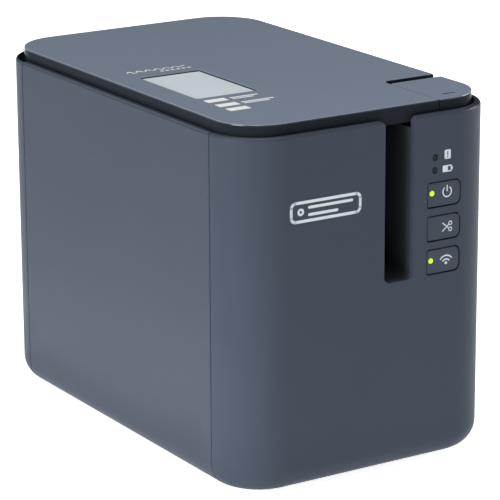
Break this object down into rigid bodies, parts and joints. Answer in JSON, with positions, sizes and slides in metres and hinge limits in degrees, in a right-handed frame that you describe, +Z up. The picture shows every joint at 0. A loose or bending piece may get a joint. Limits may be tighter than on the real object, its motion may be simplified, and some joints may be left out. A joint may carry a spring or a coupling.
{
  "type": "desktop label maker",
  "caption": "Upright box-shaped desktop label printer with a rear-hinged lid, window, release button, vertical tape slot, front buttons and lamps, and a tape cassette, feed and cutter inside.",
  "frame": {"origin": "on the surface it stands on, under the middle of the body", "axes": "+Z up, front with the tape slot towards -Y, +X to the right seen from the front"},
  "size_m": [0.12, 0.192, 0.146],
  "materials": {
    "shell_plastic": "fine satin grain, dark blue-grey",
    "cover_plastic": "satin, dark blue-grey, a little lighter in grazing light",
    "key_plastic": "satin, dark grey",
    "inner_plastic": "moulded, near black",
    "foot_rubber": "soft black rubber",
    "roller_rubber": "ground black rubber",
    "screw_steel": "zinc plated",
    "bright_steel": "ground steel",
    "sheet_steel": "galvanised sheet",
    "motor_steel": "plated motor can",
    "heat_sink_aluminium": "die cast, matt",
    "head_ceramic": null,
    "acetal": "natural acetal",
    "cassette_plastic": "pale smooth plastic",
    "label_tape": "wound white laminate tape",
    "ribbon_film": "wound black film",
    "board": "green solder mask",
    "window_pane": "smooth pale frosted pane",
    "lamp_dark": "dark clear light pipe, unlit",
    "lamp_lit": "light pipe, lit yellow-green"
  },
  "bodies": {
    "body": {"front_shell": "shell_plastic", "rear_shell": "shell_plastic", "left_side_panel": "shell_plastic", "right_side_panel": "shell_plastic", "base_tray": "inner_plastic", "mechanism_frame": "inner_plastic", "exit_chute": "inner_plastic", "dc_socket": "inner_plastic", "serial_socket": "inner_plastic", "foot_front_left": "foot_rubber", "foot_front_right": "foot_rubber", "foot_rear_left": "foot_rubber", "foot_rear_right": "foot_rubber", "base_screw_front_left": "screw_steel", "base_screw_front_right": "screw_steel", "base_screw_rear_left": "screw_steel", "base_screw_rear_right": "screw_steel", "front_shell_screw": "screw_steel", "rear_shell_screw": "screw_steel", "cutter_screw": "screw_steel", "hinge_pin_left": "bright_steel", "hinge_pin_right": "bright_steel", "release_spring": "bright_steel", "fixed_blade": "bright_steel", "chassis_plate": "sheet_steel", "cutter_frame": "sheet_steel", "usb_socket": "sheet_steel", "feed_motor": "motor_steel", "cutter_motor": "motor_steel", "head_heat_sink": "heat_sink_aluminium", "print_head": "head_ceramic", "cassette_case": "cassette_plastic", "cassette_lid": "cassette_plastic", "main_board": "board", "switch_board": "board", "alert_lamp": "lamp_dark", "battery_lamp": "lamp_dark"},
    "cover": {"top_cover": "cover_plastic", "cover_window": "window_pane"},
    "release_key": {"release_button": "cover_plastic"},
    "latch": {"cover_latch": "acetal"},
    "power_key": {"power_button": "key_plastic", "power_lamp": "lamp_lit"},
    "cut_key": {"cut_button": "key_plastic"},
    "wireless_key": {"wireless_button": "key_plastic", "wireless_lamp": "lamp_lit"},
    "holder": {"roller_holder": "heat_sink_aluminium"},
    "platen": {"platen_shaft": "bright_steel", "platen_sleeve": "roller_rubber"},
    "feed_roller": {"feed_roller_shaft": "bright_steel", "feed_roller_sleeve": "roller_rubber"},
    "transfer": {"transfer_gear": "acetal"},
    "drive": {"drive_gear": "acetal"},
    "motor_rotor": {"motor_gear": "bright_steel"},
    "take_up": {"ribbon_spindle": "acetal", "ribbon_take_up_spool": "ribbon_film"},
    "tape_roll": {"label_tape_roll": "label_tape"},
    "ribbon_supply": {"ribbon_supply_spool": "ribbon_film"},
    "blade": {"moving_blade": "bright_steel"},
    "cutter_rotor": {"cutter_pinion": "bright_steel"}
  },
  "joints": [
    {"name": "cover_hinge", "type": "hinge", "parent": "body", "child": "cover", "pos_m": [0, 0.0855, 0.142], "axis": [-1, 0, 0], "range_deg": [0, 91]},
    {"name": "release_press", "type": "slide", "parent": "body", "child": "release_key", "axis": [0, 0, -1], "range_m": [0, 0.0015], "stiffness_N_per_m": 400, "springref_m": -0.003, "deforming": ["release_spring"]},
    {"name": "latch_slide", "type": "slide", "parent": "body", "child": "latch", "axis": [1, 0, 0], "range_m": [0, 0.0015]},
    {"name": "power_press", "type": "slide", "parent": "body", "child": "power_key", "axis": [0, 1, 0], "range_m": [0, 0.0008], "stiffness_N_per_m": 600, "springref_m": -0.001},
    {"name": "cut_press", "type": "slide", "parent": "body", "child": "cut_key", "axis": [0, 1, 0], "range_m": [0, 0.0008], "stiffness_N_per_m": 600, "springref_m": -0.001},
    {"name": "wireless_press", "type": "slide", "parent": "body", "child": "wireless_key", "axis": [0, 1, 0], "range_m": [0, 0.0008], "stiffness_N_per_m": 600, "springref_m": -0.001},
    {"name": "holder_swing", "type": "hinge", "parent": "body", "child": "holder", "pos_m": [0.025, -0.008, 0.1], "axis": [0, 0, 1], "range_deg": [0, 6]},
    {"name": "drive_turn", "type": "hinge", "parent": "body", "child": "drive", "pos_m": [-0.00257, -0.03919, 0.08], "axis": [0, 0, 1], "continuous": true},
    {"name": "platen_turn", "type": "hinge", "parent": "holder", "child": "platen", "pos_m": [0.0154, -0.044, 0.08], "axis": [0, 0, 1], "continuous": true},
    {"name": "feed_roller_turn", "type": "hinge", "parent": "holder", "child": "feed_roller", "pos_m": [0.015, -0.056, 0.08], "axis": [0, 0, 1], "continuous": true},
    {"name": "transfer_turn", "type": "hinge", "parent": "holder", "child": "transfer", "pos_m": [0.02712, -0.05129, 0.08], "axis": [0, 0, 1], "continuous": true},
    {"name": "motor_turn", "type": "hinge", "parent": "body", "child": "motor_rotor", "pos_m": [0.00593, -0.02446, 0.08], "axis": [0, 0, 1], "continuous": true},
    {"name": "take_up_turn", "type": "hinge", "parent": "body", "child": "take_up", "pos_m": [-0.02246, -0.03568, 0.08], "axis": [0, 0, 1], "continuous": true},
    {"name": "tape_roll_turn", "type": "hinge", "parent": "body", "child": "tape_roll", "pos_m": [-0.026, 0, 0.1], "axis": [0, 0, 1], "continuous": true},
    {"name": "ribbon_supply_turn", "type": "hinge", "parent": "body", "child": "ribbon_supply", "pos_m": [-0.04, -0.046, 0.1], "axis": [0, 0, 1], "continuous": true},
    {"name": "blade_swing", "type": "hinge", "parent": "body", "child": "blade", "pos_m": [0.013, -0.0644, 0.08], "axis": [0, -1, 0], "range_deg": [0, 22]},
    {"name": "cutter_turn", "type": "hinge", "parent": "body", "child": "cutter_rotor", "pos_m": [0.013, -0.0644, 0.0608], "axis": [0, -1, 0], "range_deg": [-38, 0]}
  ],
  "couplings": [
    {"joint": "latch_slide", "follows": "release_press", "ratio": 1},
    {"joint": "holder_swing", "follows": "cover_hinge", "ratio": 0.065934},
    {"joint": "platen_turn", "follows": "drive_turn", "ratio": -1.875},
    {"joint": "transfer_turn", "follows": "drive_turn", "ratio": 1.6667},
    {"joint": "feed_roller_turn", "follows": "drive_turn", "ratio": -2.1429},
    {"joint": "motor_turn", "follows": "drive_turn", "ratio": -2.5},
    {"joint": "take_up_turn", "follows": "drive_turn", "ratio": -1.5},
    {"joint": "tape_roll_turn", "follows": "drive_turn", "ratio": 0.4939},
    {"joint": "ribbon_supply_turn", "follows": "drive_turn", "ratio": -1.125},
    {"joint": "cutter_turn", "follows": "blade_swing", "ratio": -1.7143}
  ]
}
